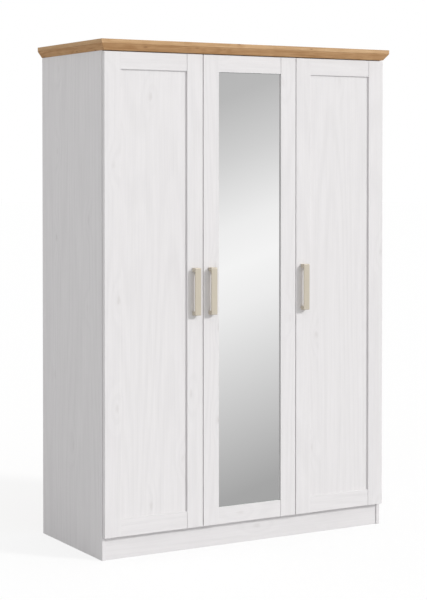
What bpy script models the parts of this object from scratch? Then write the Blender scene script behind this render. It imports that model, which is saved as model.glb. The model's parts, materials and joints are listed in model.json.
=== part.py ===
"""Three-door wardrobe: carcass, bevelled crown, framed doors, mirror, pulls and cup hinges.

Frame: origin on the floor at the middle of the footprint, +X to the right when facing the
doors, +Y towards the back, +Z up. All lengths are in metres. The doors are shut.
"""
import math

import bmesh
import bpy
from mathutils import Vector

# ------------------------------------------------------------------ driving dimensions
WIDTH = 1.400                 # over the two side panels
DEPTH = 0.643                 # from the handle fronts to the rear edge of the crown
HEIGHT = 2.145                # floor to the top of the crown
SEAM = 0.0003                 # air left between two pieces that touch

BOARD = 0.016                 # sides, partition, top, bottom, plinth and shelves
CROWN_BOARD = 0.018
CROWN_OVERHANG = 0.020        # past the sides, and past the door fronts
MOULDING_HEIGHT = 0.027
MOULDING_WIDTH = 0.040        # where it sits on the carcass
PLINTH_HEIGHT = 0.093
PLINTH_SET_BACK = 0.005       # behind the front edges of the side panels
REAR_PLINTH_INSET = 0.050     # from the rear edges of the side panels

BACK_SHEET = 0.0025           # hardboard
BACK_MARGIN = 0.003           # bare rim of board left all round the back sheets
STRIP_FLANGE = 0.0009         # the H-shaped strip that joins two back sheets
STRIP_WIDTH = 0.018
STRIP_WEB = 0.0010

DOOR_COUNT = 3
DOOR_HEIGHT = 2.000
DOOR_BOTTOM = 0.096
DOOR_THICKNESS = 0.020
DOOR_GAP = 0.004              # between two neighbouring doors
DOOR_REAR_GAP = 0.002         # between a shut door and the carcass
STILE_WIDTH = 0.075
RAIL_HEIGHT = 0.072
RAIL_STEP = 0.0015            # rail faces lie this far behind the stile faces
DOOR_PANEL = 0.008
PANEL_RECESS = 0.008          # panel face behind the stile face
GROOVE_DEPTH = 0.010
PANEL_PLAY = 0.001            # room for the panel at the bottom of its grooves
MIRROR_DOOR = "middle_door"
MIRROR_GLASS = 0.004
MIRROR_PLAY = 0.0005

HANDLE_BOTTOM = 0.996
HANDLE_LENGTH = 0.200
HANDLE_WIDTH = 0.028
HANDLE_PROJECTION = 0.028
HANDLE_BAR = 0.005            # thickness of the grip
HANDLE_POST = 0.016           # height of the foot at each end
HANDLE_CORNER = 0.003         # outer corner radius
HANDLE_FILLET = 0.006         # inner corner radius
HANDLE_CORNER_STEPS = 4       # straight pieces in each outer corner
HANDLE_FILLET_STEPS = 5

HINGES_PER_DOOR = 3
HINGE_END_INSET = 0.100       # outer hinges from the door's top and bottom
PIVOT_INSET = 0.0055          # swing axis from the door's hinge edge
PIVOT_FROM_FACE = 0.005       # swing axis behind the door's front face
CUP_INSET = 0.0225            # cup centre from the door's hinge edge
CUP_RADIUS = 0.0175
CUP_DEPTH = 0.0125
CUP_WALL = 0.0012
CUP_RIM = 0.001               # the rim's thickness, and its width outside the cup
CUP_SEGMENTS = 32
EAR_LENGTH = 0.0305           # screw ears, from the cup's centre
EAR_START = 0.0170
EAR_WIDTH = 0.0125
EAR_CORNER = 0.005
EAR_CORNER_STEPS = 3
ARM_NOSE = 0.005              # how far the arm reaches into the cup
ARM_LENGTH = 0.082            # behind the carcass front
ARM_WIDTH = 0.014
ARM_THICKNESS = 0.009
ARM_CLEARANCE = 0.0175        # arm from the swing axis, so that the cup turns past it
ARM_SEAT = 0.0085             # underside of the arm above the mounting face
CRANK_START = 0.008           # behind the carcass front
CRANK_END = 0.022
PLATE_FRONT = 0.026           # mounting plate behind the carcass front
PLATE_REAR = 0.072
PLATE_THICKNESS = 0.002
WING_HALF_LENGTH = 0.026
WING_FRONT = 0.028
WING_REAR = 0.046

DIVISION = 2 / 3              # the partition stands two thirds of the way across
HAT_SHELF_TOP = 1.776
SHELF_COUNT = 4
SHELF_SET_BACK = 0.020        # behind the carcass front
SHELF_REAR_GAP = 0.010
SHELF_PLAY = 0.001            # at each end of a loose shelf
HAT_SHELF_REAR_GAP = 0.002    # clears the joining strip
RAIL_DROP = 0.062             # hanging rail centre below the hat shelf
RAIL_TALL = 0.030
RAIL_DEEP = 0.015
RAIL_WALL = 0.001
SOCKET_PLATE = 0.0025
SOCKET_REACH = 0.012
SOCKET_WALL = 0.0025
SOCKET_LIP = 0.005            # socket plate outside its collar
OVAL_STEPS = 8                # straight pieces in each round end of an oval
CREASE_ANGLE = 40             # degrees; edges that turn further stay crisp

# ------------------------------------------------------------------ derived positions
HALF_WIDTH = WIDTH / 2
REAR = DEPTH / 2
DOOR_FRONT = -DEPTH / 2 + HANDLE_PROJECTION
DOOR_REAR = DOOR_FRONT + DOOR_THICKNESS
FRONT = DOOR_REAR + DOOR_REAR_GAP                  # front edges of the carcass
SHEET_REAR = REAR - STRIP_FLANGE - SEAM
SHEET_FRONT = SHEET_REAR - BACK_SHEET
CARCASS_REAR = SHEET_FRONT - SEAM
CARCASS_HEIGHT = HEIGHT - CROWN_BOARD - MOULDING_HEIGHT
INNER_X = HALF_WIDTH - BOARD                       # inner faces of the side panels
FLOOR_TOP = PLINTH_HEIGHT + BOARD
CEILING = CARCASS_HEIGHT - BOARD
PARTITION_X = -HALF_WIDTH + WIDTH * DIVISION
PARTITION_LEFT = PARTITION_X - BOARD / 2
PARTITION_RIGHT = PARTITION_X + BOARD / 2
DOOR_PITCH = WIDTH / DOOR_COUNT
DOOR_WIDTH = DOOR_PITCH - DOOR_GAP
DOOR_TOP = DOOR_BOTTOM + DOOR_HEIGHT
PIVOT_Y = DOOR_FRONT + PIVOT_FROM_FACE
PANEL_FRONT = DOOR_FRONT + PANEL_RECESS
PANEL_REAR = PANEL_FRONT + DOOR_PANEL
MIRROR_REAR = PANEL_FRONT + MIRROR_GLASS           # the glass lies as deep as the panels
HAT_SHELF_BOTTOM = HAT_SHELF_TOP - BOARD
RAIL_Y = (FRONT + CARCASS_REAR) / 2
RAIL_Z = HAT_SHELF_BOTTOM - RAIL_DROP


# ------------------------------------------------------------------ materials
def make_material(name, colour, roughness, metallic=0.0):
    material = bpy.data.materials.new(name)
    material.use_nodes = True
    shader = material.node_tree.nodes["Principled BSDF"]
    shader.inputs["Base Color"].default_value = (*colour, 1.0)
    shader.inputs["Roughness"].default_value = roughness
    shader.inputs["Metallic"].default_value = metallic
    material.diffuse_color = (*colour, 1.0)
    return material


def make_materials():
    return {
        "white_pine": make_material("white_pine", (0.80, 0.79, 0.78), 0.45),
        "oak": make_material("oak", (0.56, 0.34, 0.17), 0.50),
        "hardboard": make_material("hardboard", (0.74, 0.73, 0.71), 0.60),
        "mirror": make_material("mirror", (0.90, 0.91, 0.91), 0.02, 1.0),
        "satin_champagne": make_material("satin_champagne", (0.62, 0.55, 0.44), 0.35, 0.6),
        "hinge_steel": make_material("hinge_steel", (0.60, 0.60, 0.60), 0.28, 1.0),
        "rail_chrome": make_material("rail_chrome", (0.80, 0.80, 0.80), 0.12, 1.0),
        "white_plastic": make_material("white_plastic", (0.82, 0.82, 0.80), 0.40),
    }


# ------------------------------------------------------------------ solid builders
def add_object(name, shape, material, parent=None):
    """Turns a bmesh drawn in the wardrobe's frame into an object centred on itself."""
    corners = [vert.co.copy() for vert in shape.verts]
    low = Vector(min(corner[axis] for corner in corners) for axis in range(3))
    high = Vector(max(corner[axis] for corner in corners) for axis in range(3))
    centre = (low + high) / 2
    bmesh.ops.translate(shape, vec=-centre, verts=shape.verts)
    bmesh.ops.recalc_face_normals(shape, faces=shape.faces)
    mesh = bpy.data.meshes.new(name)
    shape.to_mesh(mesh)
    shape.free()
    piece = bpy.data.objects.new(name, mesh)
    piece.data.materials.append(material)
    bpy.context.scene.collection.objects.link(piece)
    piece.location = centre
    if parent is not None:
        piece.parent = parent
        piece.location = centre - parent.location
    return piece


def box(name, low, high, material, parent=None):
    """A plain board between two opposite corners."""
    low, high = Vector(low), Vector(high)
    shape = bmesh.new()
    bmesh.ops.create_cube(shape, size=1.0)
    bmesh.ops.scale(shape, vec=high - low, verts=shape.verts)
    bmesh.ops.translate(shape, vec=(low + high) / 2, verts=shape.verts)
    return add_object(name, shape, material, parent)


def spread(axis, along, first, second):
    """A point at a height along an axis, its other two coordinates in X, Y, Z order."""
    point = [first, second]
    point.insert("XYZ".index(axis), along)
    return Vector(point)


def prism(name, outline, axis, start, end, material, parent=None):
    """An outline across an axis, extruded along it from start to end."""
    shape = bmesh.new()
    verts = [shape.verts.new(spread(axis, start, *point)) for point in outline]
    cap = shape.faces.new(verts)
    swept = bmesh.ops.extrude_face_region(shape, geom=[cap])["geom"]
    moved = [item for item in swept if isinstance(item, bmesh.types.BMVert)]
    bmesh.ops.translate(shape, vec=spread(axis, end - start, 0, 0), verts=moved)
    return add_object(name, shape, material, parent)


def stack(name, loops, material, parent=None, ring=False):
    """Loops of equal length joined one after the other, then capped, or closed as a ring."""
    shape = bmesh.new()
    rows = [[shape.verts.new(point) for point in loop] for loop in loops]
    pairs = list(zip(rows, rows[1:]))
    if ring:
        pairs.append((rows[-1], rows[0]))
    else:
        shape.faces.new(rows[0])
        shape.faces.new(rows[-1])
    count = len(rows[0])
    for near, far in pairs:
        for i in range(count):
            j = (i + 1) % count
            shape.faces.new((near[i], near[j], far[j], far[i]))
    return add_object(name, shape, material, parent)


def combine(target, tool, operation):
    """Joins a tool solid to its target, or cuts it away, and removes the tool."""
    modifier = target.modifiers.new("combine", "BOOLEAN")
    modifier.operation = operation
    modifier.object = tool
    bpy.context.view_layer.update()
    graph = bpy.context.evaluated_depsgraph_get()
    plain = target.data
    name = plain.name
    target.data = bpy.data.meshes.new_from_object(target.evaluated_get(graph))
    target.modifiers.clear()
    bpy.data.meshes.remove(plain)
    bpy.data.objects.remove(tool)
    target.data.name = name


def arc(centre, radius, start, end, steps):
    """Points on an arc, with both ends, angles in degrees."""
    angles = [math.radians(start + (end - start) * i / steps) for i in range(steps + 1)]
    return [(centre[0] + radius * math.cos(a), centre[1] + radius * math.sin(a)) for a in angles]


def oval(centre, deep, tall):
    """A flat-sided oval, standing on one round end."""
    radius = deep / 2
    rise = tall / 2 - radius
    top = arc((centre[0], centre[1] + rise), radius, 0, 180, OVAL_STEPS)
    bottom = arc((centre[0], centre[1] - rise), radius, 180, 360, OVAL_STEPS)
    return top + bottom


def soften(piece):
    """Smooth shading on round walls, with edges kept crisp."""
    piece.data.shade_smooth()
    piece.data.set_sharp_from_angle(angle=math.radians(CREASE_ANGLE))


# ------------------------------------------------------------------ carcass
def build_carcass(materials):
    pine = materials["white_pine"]
    top = CARCASS_HEIGHT - SEAM
    box("left_side_panel", (-HALF_WIDTH, FRONT, 0), (-INNER_X, CARCASS_REAR, top), pine)
    box("right_side_panel", (INNER_X, FRONT, 0), (HALF_WIDTH, CARCASS_REAR, top), pine)

    between = INNER_X - SEAM
    box("top_panel", (-between, FRONT, CEILING), (between, CARCASS_REAR, top), pine)
    box("bottom_panel", (-between, FRONT, PLINTH_HEIGHT), (between, CARCASS_REAR, FLOOR_TOP), pine)
    low = (PARTITION_LEFT, FRONT, FLOOR_TOP + SEAM)
    high = (PARTITION_RIGHT, CARCASS_REAR, CEILING - SEAM)
    box("partition_panel", low, high, pine)

    plinth_top = PLINTH_HEIGHT - SEAM
    face = FRONT + PLINTH_SET_BACK
    box("plinth_board", (-between, face, 0), (between, face + BOARD, plinth_top), pine)
    face = CARCASS_REAR - REAR_PLINTH_INSET - BOARD
    box("rear_plinth_rail", (-between, face, 0), (between, face + BOARD, plinth_top), pine)


def build_crown(materials):
    """A flat board on three bevelled mouldings, mitred at the two front corners."""
    oak = materials["oak"]
    reach = HALF_WIDTH + CROWN_OVERHANG
    low = (-reach, DOOR_FRONT - CROWN_OVERHANG, HEIGHT - CROWN_BOARD + SEAM)
    box("crown_board", low, (reach, REAR, HEIGHT), oak)

    base = CARCASS_HEIGHT
    rise = MOULDING_HEIGHT
    section = ((0, base), (CROWN_OVERHANG, base + rise), (-MOULDING_WIDTH, base + rise),
               (-MOULDING_WIDTH, base))
    left = [(-HALF_WIDTH - out + SEAM, DOOR_FRONT - out, z) for out, z in section]
    right = [(HALF_WIDTH + out - SEAM, DOOR_FRONT - out, z) for out, z in section]
    stack("cornice_front", (left, right), oak)
    for name, side in (("cornice_left", -1), ("cornice_right", 1)):
        mitre = [(side * (HALF_WIDTH + out), DOOR_FRONT - out + SEAM, z) for out, z in section]
        square = [(side * (HALF_WIDTH + out), REAR, z) for out, z in section]
        stack(name, (mitre, square), oak)


def build_back(materials):
    """Three hardboard sheets: one seam lies on the partition, the other in a plastic strip."""
    hardboard = materials["hardboard"]
    edge = HALF_WIDTH - BACK_MARGIN
    seam_x = -HALF_WIDTH + WIDTH * DIVISION / 2
    half_web = STRIP_WEB / 2 + SEAM
    half_gap = SEAM / 2
    spans = (
        ("back_panel_left", -edge, seam_x - half_web),
        ("back_panel_centre", seam_x + half_web, PARTITION_X - half_gap),
        ("back_panel_right", PARTITION_X + half_gap, edge),
    )
    bottom = PLINTH_HEIGHT + BACK_MARGIN
    top = CARCASS_HEIGHT - BACK_MARGIN
    for name, start, end in spans:
        box(name, (start, SHEET_FRONT, bottom), (end, SHEET_REAR, top), hardboard)

    half = STRIP_WIDTH / 2
    web = STRIP_WEB / 2
    inner = SHEET_FRONT - SEAM
    outer = SHEET_REAR + SEAM
    right_half = ((half, inner - STRIP_FLANGE), (half, inner), (web, inner), (web, outer),
                  (half, outer), (half, REAR))
    outline = [(seam_x + x, y) for x, y in right_half]
    outline += [(seam_x - x, y) for x, y in reversed(right_half)]
    prism("back_joining_strip", outline, "Z", FLOOR_TOP + SEAM, CEILING - SEAM,
          materials["white_plastic"])


# ------------------------------------------------------------------ fittings inside
def build_shelves(materials):
    pine = materials["white_pine"]
    low = (-INNER_X + SEAM, FRONT + SHELF_SET_BACK, HAT_SHELF_BOTTOM)
    high = (PARTITION_LEFT - SEAM, CARCASS_REAR - HAT_SHELF_REAR_GAP, HAT_SHELF_TOP)
    box("hat_shelf", low, high, pine)

    bay = (CEILING - FLOOR_TOP - SHELF_COUNT * BOARD) / (SHELF_COUNT + 1)
    for number in range(1, SHELF_COUNT + 1):
        underside = FLOOR_TOP + number * bay + (number - 1) * BOARD
        low = (PARTITION_RIGHT + SHELF_PLAY, FRONT + SHELF_SET_BACK, underside)
        high = (INNER_X - SHELF_PLAY, CARCASS_REAR - SHELF_REAR_GAP, underside + BOARD)
        box(f"shelf_{number}", low, high, pine)


def build_hanging_rail(materials):
    """An oval tube whose ends sit in two sockets, one on each wall."""
    centre = (RAIL_Y, RAIL_Z)
    collar_deep = RAIL_DEEP + 2 * (SEAM + SOCKET_WALL)
    collar_tall = RAIL_TALL + 2 * (SEAM + SOCKET_WALL)
    flange = oval(centre, collar_deep + 2 * SOCKET_LIP, collar_tall + 2 * SOCKET_LIP)
    collar = oval(centre, collar_deep, collar_tall)
    pocket = oval(centre, RAIL_DEEP + 2 * SEAM, RAIL_TALL + 2 * SEAM)
    walls = (("rail_socket_left", -INNER_X + SEAM, 1), ("rail_socket_right", PARTITION_LEFT - SEAM, -1))
    for name, wall, inward in walls:
        plate = wall + inward * SOCKET_PLATE
        tip = wall + inward * SOCKET_REACH
        stops = ((flange, wall), (flange, plate), (collar, plate), (collar, tip), (pocket, tip),
                 (pocket, plate))
        loops = [[(x, y, z) for y, z in outline] for outline, x in stops]
        soften(stack(name, loops, materials["white_plastic"]))

    start = -INNER_X + 2 * SEAM + SOCKET_PLATE
    end = PARTITION_LEFT - 2 * SEAM - SOCKET_PLATE
    outer = oval(centre, RAIL_DEEP, RAIL_TALL)
    inner = oval(centre, RAIL_DEEP - 2 * RAIL_WALL, RAIL_TALL - 2 * RAIL_WALL)
    stops = ((outer, start), (outer, end), (inner, end), (inner, start))
    loops = [[(x, y, z) for y, z in outline] for outline, x in stops]
    soften(stack("hanging_rail", loops, materials["rail_chrome"], ring=True))


# ------------------------------------------------------------------ doors
def grooved(outer, inner, face, panel_face):
    """A frame member's section: outer edge, then inner edge with the panel's groove in it."""
    bottom = inner + math.copysign(GROOVE_DEPTH, outer - inner)
    near = panel_face - SEAM
    far = PANEL_REAR + SEAM
    back = DOOR_REAR
    return ((outer, face), (inner, face), (inner, near), (bottom, near), (bottom, far),
            (inner, far), (inner, back), (outer, back))


def build_door_frame(door, left, right, pivot, materials):
    """Two full-height stiles, two rails tongued between them and a panel in their grooves.
    The mirror door's panel is thinner, to leave room for the glass in front of it."""
    panel_face = MIRROR_REAR + SEAM if door == MIRROR_DOOR else PANEL_FRONT
    pine = materials["white_pine"]
    inner_left = left + STILE_WIDTH
    inner_right = right - STILE_WIDTH
    stiles = {}
    for side, outer, inner in (("left", left, inner_left), ("right", right, inner_right)):
        outline = grooved(outer, inner, DOOR_FRONT, panel_face)
        name = f"{door}_stile_{side}"
        stiles[side] = prism(name, outline, "Z", DOOR_BOTTOM, DOOR_TOP, pine, pivot)

    grip = GROOVE_DEPTH - PANEL_PLAY
    lower = DOOR_BOTTOM + RAIL_HEIGHT
    upper = DOOR_TOP - RAIL_HEIGHT
    for place, outer, inner in (("bottom", DOOR_BOTTOM, lower), ("top", DOOR_TOP, upper)):
        section = grooved(outer, inner, DOOR_FRONT + RAIL_STEP, panel_face)
        outline = [(y, z) for z, y in section]
        name = f"{door}_rail_{place}"
        rail = prism(name, outline, "X", inner_left + SEAM, inner_right - SEAM, pine, pivot)
        toward = math.copysign(1, inner - outer)
        heights = (outer + toward * PANEL_PLAY, inner - toward * (GROOVE_DEPTH + PANEL_PLAY))
        low = (inner_left - grip, panel_face, min(heights))
        high = (inner_right + grip, PANEL_REAR, max(heights))
        combine(rail, box("tongue", low, high, pine, pivot), "UNION")

    low = (inner_left - grip, panel_face, lower - grip)
    high = (inner_right + grip, PANEL_REAR, upper + grip)
    box(f"{door}_panel", low, high, pine, pivot)
    return stiles


def build_mirror(left, right, pivot, materials):
    """Glass that fills the frame's opening, flush with where the other panels lie."""
    play = MIRROR_PLAY
    low = (left + STILE_WIDTH + play, PANEL_FRONT, DOOR_BOTTOM + RAIL_HEIGHT + play)
    high = (right - STILE_WIDTH - play, MIRROR_REAR, DOOR_TOP - RAIL_HEIGHT - play)
    box("mirror", low, high, materials["mirror"], pivot)


def build_handle(door, centre_x, pivot, materials):
    """A bridge pull: two full-width feet and a flat grip, bent from one bar."""
    foot = DOOR_FRONT - SEAM
    nose = DOOR_FRONT - HANDLE_PROJECTION
    grip = nose + HANDLE_BAR
    bottom = HANDLE_BOTTOM
    top = bottom + HANDLE_LENGTH
    inner_low = bottom + HANDLE_POST
    inner_high = top - HANDLE_POST
    corner = HANDLE_CORNER
    fillet = HANDLE_FILLET
    outline = [(foot, bottom)]
    outline += arc((nose + corner, bottom + corner), corner, 270, 180, HANDLE_CORNER_STEPS)
    outline += arc((nose + corner, top - corner), corner, 180, 90, HANDLE_CORNER_STEPS)
    outline += [(foot, top), (foot, inner_high)]
    outline += arc((grip + fillet, inner_high - fillet), fillet, 90, 180, HANDLE_FILLET_STEPS)
    outline += arc((grip + fillet, inner_low + fillet), fillet, 180, 270, HANDLE_FILLET_STEPS)
    outline += [(foot, inner_low)]
    half = HANDLE_WIDTH / 2
    handle = prism(f"{door}_handle", outline, "X", centre_x - half, centre_x + half,
                   materials["satin_champagne"], pivot)
    soften(handle)


# ------------------------------------------------------------------ hinges
def circle(centre_x, centre_z, radius, y):
    points = arc((centre_x, centre_z), radius, 0, 360, CUP_SEGMENTS)[:-1]
    return [(x, y, z) for x, z in points]


def bore_for_cup(stile, x, z, pivot, materials):
    """The blind hole that the cup drops into, open at the door's rear face."""
    radius = CUP_RADIUS + SEAM
    bottom = DOOR_REAR - CUP_DEPTH - SEAM
    past_face = DOOR_REAR + DOOR_REAR_GAP
    loops = (circle(x, z, radius, bottom), circle(x, z, radius, past_face))
    combine(stile, stack("bore", loops, materials["white_pine"], pivot), "DIFFERENCE")


def corner_arc(x, z, toward_x, toward_z):
    """A quarter circle from the X side of a rounded corner to its Z side."""
    angles = [math.radians(90 * i / EAR_CORNER_STEPS) for i in range(EAR_CORNER_STEPS + 1)]
    return [(x + toward_x * EAR_CORNER * math.cos(a), z + toward_z * EAR_CORNER * math.sin(a))
            for a in angles]


def build_cup(name, x, z, inward, pivot, materials):
    """A pressed steel cup with a thin rim and two screw ears on the inboard side."""
    steel = materials["hinge_steel"]
    under = DOOR_REAR + SEAM
    over = under + CUP_RIM
    base = DOOR_REAR - CUP_DEPTH
    bore = CUP_RADIUS - CUP_WALL
    stops = ((CUP_RADIUS, base), (CUP_RADIUS, under), (CUP_RADIUS + CUP_RIM, under),
             (CUP_RADIUS + CUP_RIM, over), (bore, over), (bore, base + CUP_WALL))
    cup = stack(name, [circle(x, z, radius, y) for radius, y in stops], steel, pivot)
    for side in (-1, 1):
        near = z + side * EAR_START
        round_z = z + side * (EAR_LENGTH - EAR_CORNER)
        inner_x = x + inward * EAR_CORNER
        outer_x = x + inward * (EAR_WIDTH - EAR_CORNER)
        outline = [(x + inward * EAR_WIDTH, near), (x, near)]
        outline += corner_arc(inner_x, round_z, -inward, side)
        outline += list(reversed(corner_arc(outer_x, round_z, inward, side)))
        combine(cup, prism("ear", outline, "Y", under, over, steel, pivot), "UNION")
    soften(cup)


def build_arm(name, wall_x, inward, clearance_x, z, materials):
    """The carcass side of a hinge: a cranked arm on a winged plate screwed to the wall."""
    steel = materials["hinge_steel"]
    nose_seat = inward * (clearance_x - wall_x)
    profile = (
        (SEAM, FRONT + PLATE_FRONT),
        (ARM_SEAT, FRONT + PLATE_FRONT),
        (ARM_SEAT, FRONT + CRANK_END),
        (nose_seat, FRONT + CRANK_START),
        (nose_seat, DOOR_REAR - ARM_NOSE),
        (nose_seat + ARM_THICKNESS, DOOR_REAR - ARM_NOSE),
        (nose_seat + ARM_THICKNESS, FRONT + CRANK_START),
        (ARM_SEAT + ARM_THICKNESS, FRONT + CRANK_END),
        (ARM_SEAT + ARM_THICKNESS, FRONT + ARM_LENGTH),
        (ARM_SEAT, FRONT + ARM_LENGTH),
        (ARM_SEAT, FRONT + PLATE_REAR),
        (SEAM, FRONT + PLATE_REAR),
    )
    outline = [(wall_x + inward * height, y) for height, y in profile]
    half = ARM_WIDTH / 2
    arm = prism(name, outline, "Z", z - half, z + half, steel)
    edges = (wall_x + inward * SEAM, wall_x + inward * (SEAM + PLATE_THICKNESS))
    low = (min(edges), FRONT + WING_FRONT, z - WING_HALF_LENGTH)
    high = (max(edges), FRONT + WING_REAR, z + WING_HALF_LENGTH)
    combine(arm, box("wing", low, high, steel), "UNION")


def build_hinges(door, stile, edge_x, inward, wall_x, pivot, materials):
    """A column of cup hinges: cups in the door's stile, arms on the wall behind it."""
    cup_x = edge_x + inward * CUP_INSET
    pivot_x = edge_x + inward * PIVOT_INSET
    clearance_x = pivot_x + inward * ARM_CLEARANCE
    run = DOOR_HEIGHT - 2 * HINGE_END_INSET
    for number in range(HINGES_PER_DOOR):
        z = DOOR_BOTTOM + HINGE_END_INSET + run * number / (HINGES_PER_DOOR - 1)
        bore_for_cup(stile, cup_x, z, pivot, materials)
        build_cup(f"{door}_hinge_cup_{number + 1}", cup_x, z, inward, pivot, materials)
        build_arm(f"{door}_hinge_arm_{number + 1}", wall_x, inward, clearance_x, z, materials)


# ------------------------------------------------------------------ assembly
def build_doors(materials):
    """Each door swings about an empty that stands on its hinge axis."""
    plan = (
        ("left_door", "left", -INNER_X),
        ("middle_door", "right", PARTITION_LEFT),
        ("right_door", "right", INNER_X),
    )
    for place, (door, hinge_side, wall_x) in enumerate(plan):
        left = -HALF_WIDTH + place * DOOR_PITCH + DOOR_GAP / 2
        right = left + DOOR_WIDTH
        inward = 1 if hinge_side == "left" else -1
        hinge_edge = left if hinge_side == "left" else right
        free_edge = right if hinge_side == "left" else left
        pivot = bpy.data.objects.new(f"{door}_axis", None)
        pivot.location = (hinge_edge + inward * PIVOT_INSET, PIVOT_Y, 0)
        bpy.context.scene.collection.objects.link(pivot)

        stiles = build_door_frame(door, left, right, pivot, materials)
        build_hinges(door, stiles[hinge_side], hinge_edge, inward, wall_x, pivot, materials)
        build_handle(door, free_edge - inward * STILE_WIDTH / 2, pivot, materials)
        if door == MIRROR_DOOR:
            build_mirror(left, right, pivot, materials)


def build():
    for item in list(bpy.data.objects):
        bpy.data.objects.remove(item)
    materials = make_materials()
    build_carcass(materials)
    build_crown(materials)
    build_back(materials)
    build_shelves(materials)
    build_hanging_rail(materials)
    build_doors(materials)


build()
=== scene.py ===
import json
import math

import bmesh
import bpy
from mathutils import Matrix, Vector


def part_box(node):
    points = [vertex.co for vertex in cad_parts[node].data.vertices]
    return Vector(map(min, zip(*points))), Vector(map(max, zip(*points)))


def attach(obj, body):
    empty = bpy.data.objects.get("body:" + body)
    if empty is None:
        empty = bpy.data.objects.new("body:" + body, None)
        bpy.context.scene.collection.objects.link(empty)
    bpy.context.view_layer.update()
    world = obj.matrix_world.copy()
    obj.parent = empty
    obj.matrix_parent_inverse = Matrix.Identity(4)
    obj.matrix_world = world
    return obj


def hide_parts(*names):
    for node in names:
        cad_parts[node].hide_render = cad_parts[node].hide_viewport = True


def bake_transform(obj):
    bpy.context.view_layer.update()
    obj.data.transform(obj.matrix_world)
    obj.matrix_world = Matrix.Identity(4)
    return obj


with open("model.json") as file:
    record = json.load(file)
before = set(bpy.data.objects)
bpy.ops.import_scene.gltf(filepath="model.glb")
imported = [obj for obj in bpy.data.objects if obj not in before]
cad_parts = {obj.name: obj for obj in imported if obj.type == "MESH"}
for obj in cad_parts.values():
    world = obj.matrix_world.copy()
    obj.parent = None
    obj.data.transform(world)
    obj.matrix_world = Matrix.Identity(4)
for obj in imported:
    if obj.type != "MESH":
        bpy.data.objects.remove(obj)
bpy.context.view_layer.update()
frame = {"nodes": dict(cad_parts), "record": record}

# Looks of the three-door wardrobe. Lengths are in metres, in the CAD frame: +X to the right
# when facing the doors, +Y towards the back, +Z up, origin on the floor under the middle.
NODES = frame["nodes"]
JOINTS = frame["record"]["behaviour"]["joints"]
BODIES = frame["record"]["behaviour"]["bodies"]
BODY_OF = {node: body for body, members in BODIES.items() for node in members}
DOORS = ("left_door", "middle_door", "right_door")
INWARD = {"left_door": 1, "middle_door": -1, "right_door": -1}   # X from hinge to free edge
HINGES = (1, 2, 3)
SHELVES = (1, 2, 3, 4)

# How the CAD solids' edges are found and rounded.
WELD = 0.00001                # corners of the CAD triangles this close are one corner
LEVEL = math.radians(0.5)     # neighbouring triangles that turn less than this are one face
SHARP = math.radians(30)      # edges that turn more than this are rounded
ROUND_STEPS = 3
BOARD_ROUND = 0.0007          # laminated boards
FRAME_ROUND = 0.0009          # foil-wrapped door frames are a little softer
CROWN_ROUND = 0.0009
SHEET_ROUND = BOARD_ROUND / 3
STRIP_ROUND = BOARD_ROUND / 4
GLASS_ROUND = 0.0008
PULL_ROUND = 0.0008
METAL_ROUND = 0.0004
THIN_METAL_ROUND = METAL_ROUND / 2

# Hinge screws. Reaches are above and below the middle of a hinge; the plate's and the arm's
# screws are measured forwards from the arm's rear end.
EAR_REACH = 0.0240
EAR_SHIFT = 0.0062            # from the cup's centre, inward
CUP_CENTRE = 0.0185           # from the cup's outer edge, inward
WING_REACH = 0.0195
WING_SCREW = 0.045
WING_THICK = 0.002
ARM_SCREWS_BACK = (0.012, 0.036)
ARM_CREST = 0.0172            # the arm's height over its panel
EAR_SCREW = (0.0036, 0.0010)  # screws are (radius, height) of the head
ARM_SCREW = (0.0040, 0.0018)
PULL_SCREW = (0.0042, 0.0016)

# Hinge links: pressed channels between a pin in the arm and one in the cup, whose places are
# (inward, back) from the swing axis.
ARM_PIN = (0.0220, 0.0122)
CUP_PIN = (0.0038, 0.0075)
PIN_RADIUS = 0.0014
PIN_LENGTH = 0.0148
PIN_CHAMFER = 0.0003
LINK_HALF = 0.0052
LINK_FLANGE = 0.0026
LINK_SHEET = 0.0011
LINK_STEPS = 16

# Small fittings.
PULL_FOOT = 0.008             # from the end of a pull to the screw in its foot
SHELF_PIN_DROP = 0.0026       # from the shelf's underside to the pin's axis
SHELF_PIN_FRONT = 0.037
SHELF_PIN_REAR = 0.060
CAM_END = 0.034
CAM_FRONT = 0.060
CAM_REAR = 0.070
NAIL_INSET = 0.006
NAIL_PITCH = 0.130
SEAM_NAILS = 0.0035           # on either side of the seam over the partition
BUMPER_EDGE = 0.012
BUMPER_END = 0.0065


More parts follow.
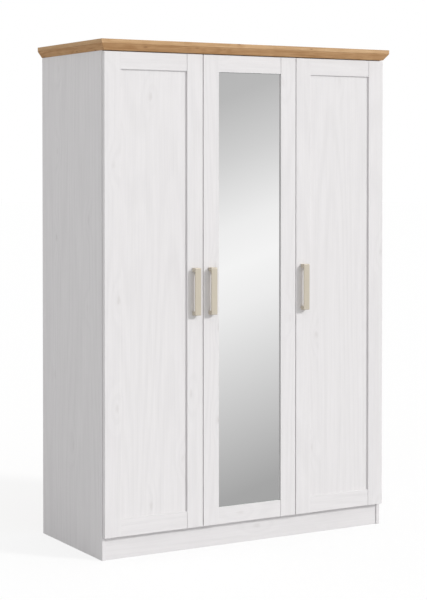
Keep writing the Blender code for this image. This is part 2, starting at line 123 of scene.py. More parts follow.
# ------------------------------------------------------------------ node trees
class Nodes:
    """A node tree under construction, with a short call for each kind of node."""

    def __init__(self, tree):
        self.tree = tree

    def feed(self, socket, value):
        """A constant, or another node's output, on a socket."""
        if isinstance(value, bpy.types.NodeSocket):
            self.tree.links.new(value, socket)
        else:
            socket.default_value = value

    def node(self, kind, inputs=None, **settings):
        made = self.tree.nodes.new(kind)
        for name, value in settings.items():
            setattr(made, name, value)
        for name, value in (inputs or {}).items():
            self.feed(made.inputs[name], value)
        return made

    def maths(self, operation, *values, clamp=False):
        inputs = dict(enumerate(values))
        return self.node("ShaderNodeMath", inputs, operation=operation, use_clamp=clamp).outputs[0]

    def remap(self, value, low, high, to_low=0.0, to_high=1.0):
        """A smooth step from low to high."""
        inputs = {"Value": value, "From Min": low, "From Max": high, "To Min": to_low,
                  "To Max": to_high}
        made = self.node("ShaderNodeMapRange", inputs, interpolation_type="SMOOTHSTEP")
        return made.outputs["Result"]

    def stretch(self, point, scale):
        """The point times a scale, which is one number or one for each axis."""
        factors = scale if isinstance(scale, tuple) else (scale, scale, scale)
        inputs = {0: point, 1: factors}
        return self.node("ShaderNodeVectorMath", inputs, operation="MULTIPLY").outputs[0]

    def noise(self, point, scale, detail=2.0, roughness=0.5, distortion=0.0):
        inputs = {"Vector": self.stretch(point, scale), "Scale": 1.0, "Detail": detail,
                  "Roughness": roughness, "Distortion": distortion}
        return self.node("ShaderNodeTexNoise", inputs).outputs["Fac"]

    def blend(self, factor, first, second):
        made = self.node("ShaderNodeMix", data_type="RGBA")
        for index, value in ((0, factor), (6, first), (7, second)):
            self.feed(made.inputs[index], value)
        return made.outputs[2]


class Shader(Nodes):
    """A material under construction, round its Principled shader."""

    def __init__(self, name):
        self.material = bpy.data.materials.new(name)
        self.material.use_nodes = True
        super().__init__(self.material.node_tree)
        self.surface = self.tree.nodes["Principled BSDF"]

    def set(self, name, value):
        self.feed(self.surface.inputs[name], value)

    def bump(self, height, distance, strength):
        inputs = {"Height": height, "Distance": distance, "Strength": strength}
        self.set("Normal", self.node("ShaderNodeBump", inputs).outputs["Normal"])

    def place(self, order="XYZ", shift=(0.0, 0.0, 0.0)):
        """The piece's own coordinates, reordered and moved."""
        source = self.node("ShaderNodeTexCoord").outputs["Object"]
        parts = self.node("ShaderNodeSeparateXYZ", {0: source}).outputs
        inputs = {index: parts[axis] for index, axis in enumerate(order)}
        point = self.node("ShaderNodeCombineXYZ", inputs).outputs[0]
        moved = self.node("ShaderNodeVectorMath", {0: point, 1: shift}, operation="ADD")
        return moved.outputs[0]


def colour(red, green, blue):
    """A linear colour from a screen colour, 0 to 255."""
    screen = (red / 255, green / 255, blue / 255)
    linear = [((value + 0.055) / 1.055) ** 2.4 for value in screen]
    return (*linear, 1.0)


def darker(tint, share):
    """A share of a linear colour's light."""
    return (*(channel * share for channel in tint[:3]), 1.0)


# ------------------------------------------------------------------ wood
# Scales are in cycles per metre, (across, along) the grain or one for each axis. A layer of
# streaks is (across, along, share), and a share is how much it darkens the wood.
PINE = {
    "light": colour(235, 233, 234),
    "dark": colour(225, 223, 224),
    "knot": colour(217, 214, 214),
    "figure": (3.4, 0.30),
    "rings": 22.0,
    "ring_share": 0.30,
    "layers": ((170.0, 2.6, 0.34), (70.0, 7.0, 0.26), (34.0, 0.6, 0.22), (9.0, 1.8, 0.10)),
    "knot_cells": (6.4, 2.9, 1.0),
    "knot_free": 0.62,        # share of the cells that have no knot
    "knot_size": 0.075,       # in cells
    "knot_pull": 0.060,
    "pore_share": 0.0,
    "roughness": 0.46,
    "specular": 0.38,
    "relief": 0.00006,
}
OAK = {
    "light": colour(216, 181, 140),
    "dark": colour(177, 135, 91),
    "knot": colour(128, 84, 50),
    "figure": (16.0, 0.6),
    "rings": 9.0,
    "ring_share": 0.26,
    "layers": ((260.0, 4.5, 0.50), (95.0, 2.2, 0.40), (60.0, 15.0, 0.34), (14.0, 4.0, 0.20)),
    "knot_cells": (22.0, 7.4, 1.0),
    "knot_free": 0.66,
    "knot_size": 0.100,
    "knot_pull": 0.10,
    "pore_share": 0.40,
    "roughness": 0.62,
    "specular": 0.20,
    "relief": 0.00010,
}
OAK_MOULDING = {**OAK, "light": colour(217, 175, 129), "dark": colour(168, 121, 76),
                "knot_free": 0.40}
OAK_TOP = {**OAK, "knot_free": 0.86}
KNOT_RAGS = (90, 16, 90)
PORES = (1300, 42, 1300)
FIBRES = (900, 14, 900)
SERIAL_SHIFT = (1.37, 2.11, 0.53)     # how far one serial number moves the pattern


def knots_in(wood, point, look):
    """Some cells of a stretched grid hold a knot. Gives its ragged dark heart, and how much
    it pulls on the figure round it."""
    cells = {"Vector": wood.stretch(point, look["knot_cells"]), "Scale": 1.0}
    grid = wood.node("ShaderNodeTexVoronoi", cells, voronoi_dimensions="2D")
    distance = grid.outputs["Distance"]
    chance = wood.node("ShaderNodeSeparateColor", {0: grid.outputs["Color"]}).outputs
    present = wood.remap(chance[0], look["knot_free"], look["knot_free"] + 0.02)
    strength = wood.remap(chance[1], 0.0, 1.0, 0.35, 1.0)
    size = look["knot_size"]
    rags = wood.maths("MULTIPLY", wood.noise(point, KNOT_RAGS), size * 1.6)
    inside = wood.remap(wood.maths("ADD", distance, rags), size * 1.9, size * 0.9)
    heart = wood.maths("MULTIPLY", wood.maths("MULTIPLY", inside, present), strength)
    pull = wood.maths("MULTIPLY", wood.remap(distance, size * 5.0, 0.0), present)
    return heart, pull


def figure_in(wood, point, look, pull):
    """The wood's tone, from 0, light, to 1, dark: rings, layers of streaks, and pores."""
    across, along = look["figure"]
    flow = wood.noise(point, (across, along, across), detail=1.5, roughness=0.35)
    bent = wood.maths("ADD", flow, wood.maths("MULTIPLY", pull, look["knot_pull"]))
    wave = wood.maths("SINE", wood.maths("MULTIPLY", bent, look["rings"] * math.tau))
    tone = wood.maths("MULTIPLY", wood.remap(wave, -0.4, 1.0), look["ring_share"])
    weight = look["ring_share"]
    for across, along, share in look["layers"]:
        layer = wood.remap(wood.noise(point, (across, along, across), 2.5, 0.55), 0.32, 0.70)
        tone = wood.maths("ADD", tone, wood.maths("MULTIPLY", layer, share))
        weight += share
    pores = wood.remap(wood.noise(point, PORES, 1.0), 0.62, 0.74)
    tone = wood.maths("ADD", tone, wood.maths("MULTIPLY", pores, look["pore_share"]))
    return wood.maths("DIVIDE", tone, weight, clamp=True)


def wood_material(name, order, serial, look):
    """Laminated wood. order names the axes across, along and through the grain; the serial
    number moves the pattern, so that each board has its own figure."""
    wood = Shader(name)
    point = wood.place(order, tuple(step * serial for step in SERIAL_SHIFT))
    heart, pull = knots_in(wood, point, look)
    tone = figure_in(wood, point, look, pull)
    tint = wood.blend(tone, look["light"], look["dark"])
    wood.set("Base Color", wood.blend(heart, tint, look["knot"]))
    middle = look["roughness"]
    wood.set("Roughness", wood.remap(tone, 0.0, 1.0, middle - 0.05, middle + 0.05))
    wood.set("Specular IOR Level", look["specular"])
    raised = wood.maths("MULTIPLY", wood.noise(point, FIBRES, 2.0, 0.6), 0.5)
    sunk = wood.maths("MULTIPLY", tone, -0.6)
    wood.bump(wood.maths("ADD", raised, sunk), look["relief"], 0.6)
    return wood.material


# ------------------------------------------------------------------ other materials
def raw_hardboard_material():
    """The raw rear face of the back sheets: pressed brown fibres."""
    board = Shader("hardboard_raw")
    point = board.place()
    fibres = board.noise(point, 420.0, 3.0, 0.65, 0.6)
    blotches = board.noise(point, (5.0, 5.0, 3.0), 3.0, 0.55)
    tint = board.blend(board.remap(fibres, 0.30, 0.72), colour(188, 150, 112), colour(148, 112, 78))
    tint = board.blend(board.remap(blotches, 0.35, 0.80, 0.0, 0.30), tint, colour(140, 104, 72))
    board.set("Base Color", tint)
    board.set("Roughness", board.remap(fibres, 0.2, 0.8, 0.66, 0.84))
    board.bump(fibres, 0.00012, 0.7)
    return board.material


def lacquer_material():
    """The lacquered inner face of the back sheets."""
    paint = Shader("hardboard_lacquered")
    point = paint.place()
    peel = paint.noise(point, 260.0)
    drift = paint.noise(point, (3.0, 3.0, 1.2))
    paint.set("Base Color", paint.blend(drift, colour(232, 230, 229), colour(224, 222, 220)))
    paint.set("Roughness", paint.remap(peel, 0.3, 0.7, 0.36, 0.46))
    paint.bump(peel, 0.00003, 0.5)
    return paint.material


def metal_material(name, tint, roughness, marks, scratch=0.10, metallic=1.0):
    """Brushed or drawn metal. marks is the scale of the brush marks in X, Y and Z, and
    scratch is how much they vary the roughness."""
    metal = Shader(name)
    point = metal.place()
    brushed = metal.noise(point, marks, 2.0, 0.6)
    smudge = metal.noise(point, 38.0, 3.0, 0.6)
    shade = metal.blend(metal.remap(brushed, 0.25, 0.75), tint, darker(tint, 0.90))
    metal.set("Base Color", shade)
    rough = metal.maths("MULTIPLY_ADD", brushed, scratch, roughness - scratch / 2)
    metal.set("Roughness", metal.maths("ADD", rough, metal.remap(smudge, 0.45, 0.80, 0.0, 0.08)))
    metal.bump(brushed, 0.00002, 0.5)
    metal.set("Metallic", metallic)
    return metal.material


def plastic_material(name, tint, roughness):
    """Moulded plastic with a fine grain."""
    plastic = Shader(name)
    point = plastic.place()
    grain = plastic.noise(point, 900.0)
    drift = plastic.noise(point, 22.0)
    plastic.set("Base Color", plastic.blend(drift, tint, darker(tint, 0.93)))
    gloss = plastic.remap(grain, 0.3, 0.7, roughness - 0.05, roughness + 0.06)
    plastic.set("Roughness", gloss)
    plastic.bump(grain, 0.00002, 0.5)
    return plastic.material


def silver_material():
    """The silvered glass, with the faint smears of a wiped mirror."""
    silver = Shader("mirror_silver")
    point = silver.place()
    smear = silver.noise(point, (6.0, 6.0, 1.4), 4.0, 0.6, 1.2)
    dust = silver.remap(silver.noise(point, 60.0, 3.0, 0.7), 0.66, 0.80)
    silver.set("Base Color", silver.blend(dust, colour(248, 248, 248), colour(242, 242, 242)))
    silver.set("Roughness", silver.remap(smear, 0.45, 0.85, 0.006, 0.030))
    silver.set("Metallic", 1.0)
    return silver.material


def glass_edge_material():
    """The ground edge of float glass, grey-green."""
    edge = Shader("mirror_edge")
    point = edge.place()
    ground = edge.noise(point, 700.0)
    edge.set("Base Color", edge.blend(ground, colour(176, 196, 186), colour(138, 164, 152)))
    edge.set("Roughness", edge.remap(ground, 0.3, 0.7, 0.30, 0.48))
    edge.bump(ground, 0.00002, 0.5)
    edge.set("Specular IOR Level", 0.5)
    return edge.material


def make_materials():
    """The materials that more than one piece can share."""
    return {
        "raw": raw_hardboard_material(),
        "lacquer": lacquer_material(),
        "plastic": plastic_material("fitting_plastic", colour(232, 231, 228), 0.42),
        "bumper": plastic_material("bumper_silicone", colour(214, 214, 210), 0.30),
        "champagne": metal_material("champagne", colour(213, 204, 187), 0.42,
                                    (1500.0, 1500.0, 14.0), metallic=0.30),
        "nickel": metal_material("nickel", colour(222, 221, 218), 0.27, (160.0, 900.0, 900.0)),
        "chrome": metal_material("chrome", colour(226, 227, 228), 0.12, (4.0, 500.0, 500.0), 0.06),
        "silver": silver_material(),
        "glass_edge": glass_edge_material(),
    }


# ------------------------------------------------------------------ pieces
def show(name, shape, body, materials):
    mesh = bpy.data.meshes.new(name)
    shape.to_mesh(mesh)
    shape.free()
    for material in materials:
        mesh.materials.append(material)
    mesh.shade_smooth()
    mesh.set_sharp_from_angle(angle=SHARP)
    piece = bpy.data.objects.new(name, mesh)
    bpy.context.scene.collection.objects.link(piece)
    if body:
        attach(piece, body)
    return piece


def cad_shape(node):
    """A CAD node's mesh with its triangles welded and merged into flat faces."""
    shape = bmesh.new()
    shape.from_mesh(NODES[node].data)
    bmesh.ops.remove_doubles(shape, verts=shape.verts, dist=WELD)
    bmesh.ops.dissolve_limit(shape, angle_limit=LEVEL, verts=shape.verts, edges=shape.edges)
    return shape


def on_outside(edge, low, high):
    """True where an edge lies in one of the six faces of a box."""
    ends = [vert.co for vert in edge.verts]
    return any(all(abs(end[axis] - face[axis]) < WELD for end in ends)
               for face in (low, high) for axis in range(3))


def round_over(shape, radius, box=None):
    """Rounds every sharp edge, or only those on the outside of a box."""
    edges = [edge for edge in shape.edges if edge.calc_face_angle(0.0) > SHARP]
    if box:
        edges = [edge for edge in edges if on_outside(edge, *box)]
    bmesh.ops.bevel(shape, geom=edges, offset=radius, segments=ROUND_STEPS, profile=0.5,
                    affect="EDGES", clamp_overlap=True)


def refine(node, radius, materials, choose=None, outside=False):
    """The CAD node as a finished piece: same solid, rounded edges, its own materials.
    choose picks the material for a face from its normal; outside leaves the edges of
    grooves, tongues and bores sharp."""
    shape = cad_shape(node)
    round_over(shape, radius, box=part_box(node) if outside else None)
    if choose:
        for face in shape.faces:
            face.material_index = choose(face.normal)
    piece = show(f"{node}_finished", shape, BODY_OF[node], materials)
    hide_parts(node)
    flatten = piece.modifiers.new("flat_faces", "WEIGHTED_NORMAL")
    flatten.weight = 100
    flatten.keep_sharp = True


def lathe(profile, steps):
    """A turned piece about +Z from (radius, height) points; radius 0 closes an end."""
    shape = bmesh.new()
    rows = []
    for radius, height in profile:
        if radius == 0:
            rows.append([shape.verts.new((0, 0, height))])
            continue
        angles = [math.tau * i / steps for i in range(steps)]
        rows.append([shape.verts.new((radius * math.cos(a), radius * math.sin(a), height))
                     for a in angles])
    for near, far in zip(rows, rows[1:]):
        for i in range(steps):
            j = (i + 1) % steps
            ring = [near[i % len(near)], near[j % len(near)], far[j % len(far)], far[i % len(far)]]
            corners = list(dict.fromkeys(ring))
            if len(corners) > 2:
                shape.faces.new(corners)
    bmesh.ops.recalc_face_normals(shape, faces=shape.faces)
    return shape


def facing(point, direction):
    """Puts a piece made about +Z at a point, looking along a direction."""
    turn = Vector(direction).to_track_quat("Z", "Y").to_matrix().to_4x4()
    return Matrix.Translation(point) @ turn


def stamp(name, pattern, places, body, finish, materials):
    """One piece made of the same small shape at each place."""
    joined = bmesh.new()
    mesh = bpy.data.meshes.new("pattern")
    pattern.to_mesh(mesh)
    pattern.free()
    for place in places:
        start = len(joined.verts)
        joined.from_mesh(mesh)
        joined.verts.ensure_lookup_table()
        bmesh.ops.transform(joined, matrix=place, verts=joined.verts[start:])
    bpy.data.meshes.remove(mesh)
    return show(name, joined, body, [materials[finish]])


def cut(shape, tool):
    """The shape with the tool's volume taken out."""
    objects = []
    for name, source in (("shape", shape), ("tool", tool)):
        mesh = bpy.data.meshes.new(name)
        source.to_mesh(mesh)
        source.free()
        made = bpy.data.objects.new(name, mesh)
        bpy.context.scene.collection.objects.link(made)
        objects.append(made)
    modifier = objects[0].modifiers.new("cut", "BOOLEAN")
    modifier.operation = "DIFFERENCE"
    modifier.object = objects[1]
    modifier.use_self = True
    bpy.context.view_layer.update()
    graph = bpy.context.evaluated_depsgraph_get()
    result = bmesh.new()
    result.from_mesh(objects[0].evaluated_get(graph).to_mesh())
    for made in objects:
        mesh = made.data
        bpy.data.objects.remove(made)
        bpy.data.meshes.remove(mesh)
    return result


def centre(node):
    """The middle of a node's box."""
    low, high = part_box(node)
    return (low + high) / 2


# ------------------------------------------------------------------ boards
def dress_boards():
    """Every white board, door frame and door panel gets rounded edges and its own figure."""
    upright = ("left_side_panel", "right_side_panel", "partition_panel")
    level = ("top_panel", "bottom_panel", "hat_shelf", *(f"shelf_{i}" for i in SHELVES))
    lying = ("plinth_board", "rear_plinth_rail")
    plan = [(node, "YZX", BOARD_ROUND) for node in upright]
    plan += [(node, "YXZ", BOARD_ROUND) for node in level]
    plan += [(node, "ZXY", BOARD_ROUND) for node in lying]
    for door in DOORS:
        plan += [(f"{door}_stile_{side}", "XZY", FRAME_ROUND) for side in ("left", "right")]
        plan += [(f"{door}_rail_{place}", "ZXY", FRAME_ROUND) for place in ("top", "bottom")]
        plan += [(f"{door}_panel", "XZY", BOARD_ROUND)]
    for serial, (node, order, radius) in enumerate(plan, start=1):
        refine(node, radius, [wood_material(f"pine_{node}", order, serial, PINE)], outside=True)


def dress_crown():
    """The grain runs along each length of moulding, and round the board's edge. The serial
    numbers are free choices above those of the boards."""
    top = wood_material("oak_top", "YXZ", 40, OAK_TOP)
    lengthwise = wood_material("oak_lengthwise", "ZXY", 41, OAK)
    crosswise = wood_material("oak_crosswise", "ZYX", 44, OAK)
    bevel_front = wood_material("oak_moulding_front", "ZXY", 49, OAK_MOULDING)
    bevel_side = wood_material("oak_moulding_side", "ZYX", 53, OAK_MOULDING)
    refine("crown_board", CROWN_ROUND, [top, lengthwise, crosswise],
           lambda normal: 2 if abs(normal.x) > 0.8 else 1 if abs(normal.y) > 0.8 else 0)
    refine("cornice_front", CROWN_ROUND, [bevel_front])
    refine("cornice_left", CROWN_ROUND, [bevel_side])
    refine("cornice_right", CROWN_ROUND, [bevel_side])


def dress_back(materials):
    """Back sheets lacquered inside and raw behind, and the strip that joins two of them."""
    for place in ("left", "centre", "right"):
        refine(f"back_panel_{place}", SHEET_ROUND, [materials["lacquer"], materials["raw"]],
               lambda normal: 1 if normal.y > 0.5 else 0)
    refine("back_joining_strip", STRIP_ROUND, [materials["plastic"]])


# ------------------------------------------------------------------ glass and metal
def dress_mirror(materials):
    """Silvered face, ground edges and arris."""
    refine("mirror", GLASS_ROUND, [materials["silver"], materials["glass_edge"]],
           lambda normal: 0 if normal.y < -0.99 else 1)


def dress_metal(materials):
    """The pulls, the hinges, and the hanging rail in its plastic sockets."""
    for door in DOORS:
        refine(f"{door}_handle", PULL_ROUND, [materials["champagne"]])
        for number in HINGES:
            refine(f"{door}_hinge_cup_{number}", THIN_METAL_ROUND, [materials["nickel"]])
            refine(f"{door}_hinge_arm_{number}", METAL_ROUND, [materials["nickel"]])
    refine("hanging_rail", THIN_METAL_ROUND, [materials["chrome"]])
    refine("rail_socket_left", METAL_ROUND, [materials["plastic"]])
    refine("rail_socket_right", METAL_ROUND, [materials["plastic"]])


def screw_head(radius, height):
    """A pan head with a cross recess, its seat at the origin and its face along +Z."""
    head = lathe(((0, 0), (radius, 0), (radius * 0.97, height * 0.45),
                  (radius * 0.80, height * 0.82), (radius * 0.62, height), (0, height)), 20)
    cross = bmesh.new()
    slot = Matrix.Diagonal((radius * 0.95, radius * 0.24, height, 1))
    raised = Matrix.Translation((0, 0, height * 1.02))
    for degrees in (0, 90):
        turn = Matrix.Rotation(math.radians(degrees), 4, "Z")
        bmesh.ops.create_cube(cross, size=1.0, matrix=raised @ turn @ slot)
    return cut(head, cross)


def add_hinge_screws(materials):
    """Two screws in the ears of each cup, two in each plate's wings, two on each arm."""
    for door in DOORS:
        inward = INWARD[door]
        ear_places = []
        arm_places = []
        for number in HINGES:
            cup_low, cup_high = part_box(f"{door}_hinge_cup_{number}")
            arm_low, arm_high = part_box(f"{door}_hinge_arm_{number}")
            z = (cup_low.z + cup_high.z) / 2
            rim = cup_low.x if inward > 0 else cup_high.x
            wall = arm_low.x if inward > 0 else arm_high.x
            ear_x = rim + inward * (CUP_CENTRE + EAR_SHIFT)
            wing_x = wall + inward * WING_THICK
            crest_x = wall + inward * ARM_CREST
            for side in (-1, 1):
                ear = (ear_x, cup_high.y, z + side * EAR_REACH)
                wing = (wing_x, arm_high.y - WING_SCREW, z + side * WING_REACH)
                ear_places.append(facing(ear, (0, 1, 0)))
                arm_places.append(facing(wing, (inward, 0, 0)))
            for back in ARM_SCREWS_BACK:
                arm_places.append(facing((crest_x, arm_high.y - back, z), (inward, 0, 0)))
        stamp(f"{door}_cup_screws", screw_head(*EAR_SCREW), ear_places, door, "nickel", materials)
        stamp(f"{door}_arm_screws", screw_head(*ARM_SCREW), arm_places, "carcass", "nickel",
              materials)


def channel(start, end):
    """A pressed-steel channel between two pins, made in short steps along its length. Its web is
    towards the front and its flanges point back."""
    half, flange, sheet = LINK_HALF, LINK_FLANGE, LINK_SHEET
    outline = ((-half, 0), (half, 0), (half, flange), (half - sheet, flange), (half - sheet, sheet),
               (sheet - half, sheet), (sheet - half, flange), (-half, flange))
    along = (end - start).normalized()
    front = Vector((-along.y, along.x, 0)) * (1 if along.x < 0 else -1)
    shape = bmesh.new()
    rows = []
    for i in range(LINK_STEPS + 1):
        web = start.lerp(end, i / LINK_STEPS) + front * sheet / 2
        rows.append([shape.verts.new(web - front * depth + Vector((0, 0, out)))
                     for out, depth in outline])
    for near, far in zip(rows, rows[1:]):
        for i in range(len(outline)):
            j = (i + 1) % len(outline)
            shape.faces.new((near[i], near[j], far[j], far[i]))
    shape.faces.new(rows[0])
    shape.faces.new(rows[-1])
    bmesh.ops.recalc_face_normals(shape, faces=shape.faces)
    return shape


def add_hinge_links(materials):
    """The link between each hinge's arm and cup, with a pin at each end."""
    tip = PIN_RADIUS - PIN_CHAMFER
    pin = ((0, 0), (tip, 0), (PIN_RADIUS, PIN_CHAMFER), (PIN_RADIUS, PIN_LENGTH - PIN_CHAMFER),
           (tip, PIN_LENGTH), (0, PIN_LENGTH))
    for joint in JOINTS:
        door = joint["child"]
        axis = Vector(joint["pos_m"])
        arm_pin, cup_pin = (axis + Vector((INWARD[door] * inward, back, 0))
                            for inward, back in (ARM_PIN, CUP_PIN))
        heights = [centre(f"{door}_hinge_cup_{number}").z for number in HINGES]
        lifts = [Matrix.Translation((0, 0, height)) for height in heights]
        piece = stamp(f"{door}_hinge_links", channel(arm_pin, cup_pin), lifts, None, "nickel",
                      materials)
        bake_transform(piece)
        for body, middle in (("carcass", arm_pin), (door, cup_pin)):
            foot = middle - Vector((0, 0, PIN_LENGTH / 2))
            places = [lift @ Matrix.Translation(foot) for lift in lifts]
            stamp(f"{door}_{body}_pins", lathe(pin, 14), places, body, "nickel", materials)


def add_handle_screws(materials):
    """The screw heads that hold each pull, on the door's inner face."""
    for door in DOORS:
        low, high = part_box(f"{door}_handle")
        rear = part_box(f"{door}_stile_left")[1].y
        x = (low.x + high.x) / 2
        places = [facing((x, rear, z), (0, 1, 0))
                  for z in (low.z + PULL_FOOT, high.z - PULL_FOOT)]
        stamp(f"{door}_handle_screws", screw_head(*PULL_SCREW), places, door, "nickel", materials)


# ------------------------------------------------------------------ small fittings
def add_shelf_pins(materials):
    """Four collared pins under each loose shelf."""
    pin = ((0, 0), (0.0040, 0), (0.0040, 0.0010), (0.0025, 0.0012), (0.0025, 0.0075),
           (0.0021, 0.0080), (0, 0.0080))
    left_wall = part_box("partition_panel")[1].x
    right_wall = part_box("right_side_panel")[0].x
    places = []
    for number in SHELVES:
        low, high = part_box(f"shelf_{number}")
        z = low.z - SHELF_PIN_DROP
        for y in (low.y + SHELF_PIN_FRONT, high.y - SHELF_PIN_REAR):
            places.append(facing((left_wall, y, z), (1, 0, 0)))
            places.append(facing((right_wall, y, z), (-1, 0, 0)))
    stamp("shelf_pins", lathe(pin, 16), places, "carcass", "nickel", materials)


def add_cam_covers(materials):
    """Caps over the cam fasteners: under the top panel and the hat shelf, and on the side
    of the partition that faces the shelves."""
    cap = ((0, 0), (0.0088, 0), (0.0088, 0.0006), (0.0080, 0.0011), (0, 0.0013))
    places = []
    for node in ("top_panel", "hat_shelf"):
        low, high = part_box(node)
        for x in (low.x + CAM_END, high.x - CAM_END):
            for y in (low.y + CAM_FRONT, high.y - CAM_REAR):
                places.append(facing((x, y, low.z), (0, 0, -1)))
    low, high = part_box("partition_panel")
    for z in (low.z + CAM_END, high.z - CAM_END):
        for y in (low.y + CAM_FRONT, high.y - CAM_REAR):
            places.append(facing((high.x, y, z), (1, 0, 0)))
    stamp("cam_covers", lathe(cap, 24), places, "carcass", "plastic", materials)


def nail_row(start, end):
    """Nails facing back, from start to end, about one pitch apart."""
    count = max(2, round((end - start).length / NAIL_PITCH) + 1)
    return [facing(start.lerp(end, i / (count - 1)), (0, 1, 0)) for i in range(count)]


def add_back_nails(materials):
    """Nails round the rim of the back, down the partition and along the hat shelf."""
    nail = ((0.0016, 0), (0.0016, 0.0003), (0.0010, 0.0006), (0, 0.0007))
    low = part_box("back_panel_left")[0]
    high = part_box("back_panel_right")[1]
    left, right = low.x + NAIL_INSET, high.x - NAIL_INSET
    bottom, top = low.z + NAIL_INSET, high.z - NAIL_INSET
    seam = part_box("back_panel_right")[0].x
    shelf = centre("hat_shelf").z
    step = NAIL_PITCH
    rows = [((left, bottom), (left, top)),
            ((right, bottom), (right, top)),
            ((left + step, bottom), (right - step, bottom)),
            ((left + step, top), (right - step, top)),
            ((seam - SEAM_NAILS, bottom + step), (seam - SEAM_NAILS, top - step)),
            ((seam + SEAM_NAILS, bottom + step), (seam + SEAM_NAILS, top - step)),
            ((left + step, shelf), (seam - step, shelf))]
    places = []
    for ends in rows:
        start, end = (Vector((x, high.y, z)) for x, z in ends)
        places += nail_row(start, end)
    stamp("back_nails", lathe(nail, 12), places, "carcass", "nickel", materials)


def add_bumpers(materials):
    """Soft dots that the doors close against, on the free edge of each door."""
    dot = ((0.0040, 0), (0.0040, 0.0007), (0.0032, 0.0013), (0.0016, 0.0016), (0, 0.0016))
    for door in DOORS:
        free = "right" if INWARD[door] > 0 else "left"
        low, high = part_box(f"{door}_stile_{free}")
        x = high.x - BUMPER_EDGE if free == "right" else low.x + BUMPER_EDGE
        places = [facing((x, high.y, z), (0, 1, 0))
                  for z in (low.z + BUMPER_END, high.z - BUMPER_END)]
        stamp(f"{door}_bumpers", lathe(dot, 16), places, door, "bumper", materials)


# ------------------------------------------------------------------ stage
# Grey levels of the studio against the height of a direction, from the floor up. The mirror
# shows one bright soft band, which leans a little.
AMBIENT_SWEEP = ((-1.0, 0.49), (0.0, 0.625), (1.0, 0.84))
MIRROR_AXIS = (-0.364, -0.210, 1.0)
MIRROR_SWEEP = ((-0.30, 0.34), (-0.207, 0.405), (-0.124, 0.76), (-0.095, 0.895), (-0.070, 0.96),
                (-0.045, 0.90), (-0.003, 0.67), (0.034, 0.515), (0.12, 0.44), (0.40, 0.50))
WHITE = (1.0, 1.0, 1.0, 1.0)
FLOOR_RADIUS = 60
FLOOR_GREY = 0.24
FLOOR_GLOW = 0.76             # with the grey, white where no shadow falls
BOUNCE_GREY = 0.62
BOUNCE_HEIGHT = -0.002
KEY_TRAVEL = (-0.80, 1.0, -0.65)
CAMERA_PLACE = (-3.6765, -6.3128, 1.6432)
CAMERA_PITCH = 88.8           # 90 is level
CAMERA_HEADING = -30.129


def sweep(world, direction, axis, stops, interpolation):
    """Grey levels against the height of a direction along an axis, in rising order."""
    low = stops[0][0]
    span = stops[-1][0] - low
    along = world.node("ShaderNodeVectorMath", {0: direction, 1: axis}, operation="DOT_PRODUCT")
    share = world.maths("MULTIPLY_ADD", along.outputs["Value"], 1 / span, -low / span)
    ramp = world.node("ShaderNodeValToRGB", {0: share})
    band = ramp.color_ramp
    band.interpolation = interpolation
    for height, _ in stops[1:-1]:
        band.elements.new((height - low) / span)
    for element, (height, grey) in zip(band.elements, stops):
        element.position = (height - low) / span
        element.color = (grey, grey, grey, 1.0)
    return ramp.outputs[0]


def world_light():
    """White to the camera, a soft ambient light, and a studio sweep that the mirror shows."""
    studio = bpy.data.worlds.new("studio")
    bpy.context.scene.world = studio
    studio.use_nodes = True
    studio.node_tree.nodes.clear()
    world = Nodes(studio.node_tree)
    direction = world.node("ShaderNodeTexCoord").outputs["Generated"]
    ambient = sweep(world, direction, (0, 0, 1), AMBIENT_SWEEP, "B_SPLINE")
    reflected = sweep(world, direction, MIRROR_AXIS, MIRROR_SWEEP, "LINEAR")
    ray = world.node("ShaderNodeLightPath").outputs
    lit = world.blend(ray["Is Glossy Ray"], ambient, reflected)
    seen = world.blend(ray["Is Camera Ray"], lit, WHITE)
    background = world.node("ShaderNodeBackground", {"Color": seen}).outputs[0]
    world.node("ShaderNodeOutputWorld", {"Surface": background})


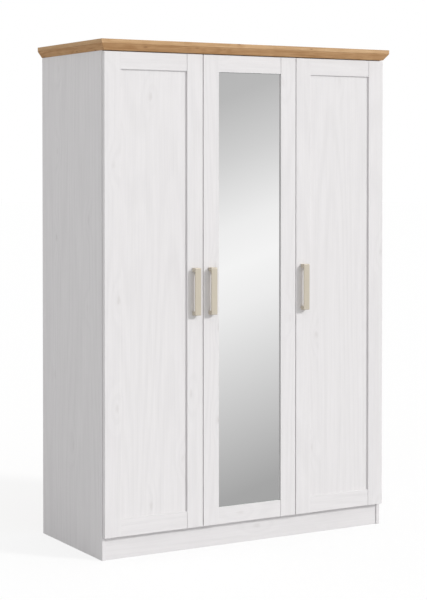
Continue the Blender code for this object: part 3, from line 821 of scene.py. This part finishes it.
def add_disc(name, height, grey, glow):
    """A wide matt disc under the wardrobe, which no mirror shows."""
    bpy.ops.mesh.primitive_circle_add(vertices=96, radius=FLOOR_RADIUS, fill_type="NGON",
                                      location=(0, 0, height))
    disc = bpy.context.object
    disc.name = name
    disc.visible_glossy = False
    paint = Shader(name)
    paint.set("Base Color", (grey, grey, grey, 1.0))
    paint.set("Roughness", 0.9)
    paint.set("Specular IOR Level", 0.0)
    paint.set("Emission Color", WHITE)
    paint.set("Emission Strength", glow)
    disc.data.materials.append(paint.material)
    return disc


def add_floor():
    """A pale floor for the camera, and a darker one just below that only sends light back
    up, so that the wardrobe's own shadow darkens the foot of its left side."""
    seen = add_disc("studio_floor", 0, FLOOR_GREY, FLOOR_GLOW)
    seen.visible_diffuse = False
    seen.visible_shadow = False
    bounce = add_disc("studio_bounce", BOUNCE_HEIGHT, BOUNCE_GREY, 0.0)
    bounce.visible_camera = False


def add_lights():
    """One broad key from the front right, above the wardrobe."""
    key = bpy.data.lights.new("key", "SUN")
    key.energy = 1.61
    key.angle = math.radians(9)
    key.color = (1.0, 0.995, 0.985)
    lamp = bpy.data.objects.new("key", key)
    lamp.rotation_euler = Vector(KEY_TRAVEL).to_track_quat("-Z", "Y").to_euler()
    lamp.location = (3.0, -6.0, 5.0)
    bpy.context.scene.collection.objects.link(lamp)


def add_camera():
    """Almost level, 30 degrees to the left of straight on, at a standing eye's height."""
    camera = bpy.data.cameras.new("camera")
    camera.sensor_fit = "VERTICAL"
    camera.sensor_height = 36.0
    camera.sensor_width = 36.0
    camera.lens = 98.43
    camera.shift_y = -0.1730
    camera.clip_end = 200.0
    eye = bpy.data.objects.new("camera", camera)
    eye.location = CAMERA_PLACE
    eye.rotation_euler = (math.radians(CAMERA_PITCH), 0, math.radians(CAMERA_HEADING))
    bpy.context.scene.collection.objects.link(eye)
    bpy.context.scene.camera = eye


# ------------------------------------------------------------------ the whole scene
def build():
    materials = make_materials()
    dress_boards()
    dress_crown()
    dress_back(materials)
    dress_mirror(materials)
    dress_metal(materials)
    add_hinge_screws(materials)
    add_hinge_links(materials)
    add_handle_screws(materials)
    add_shelf_pins(materials)
    add_cam_covers(materials)
    add_back_nails(materials)
    add_bumpers(materials)
    world_light()
    add_floor()
    add_lights()
    add_camera()
    bpy.context.scene.view_settings.view_transform = "Standard"


build()
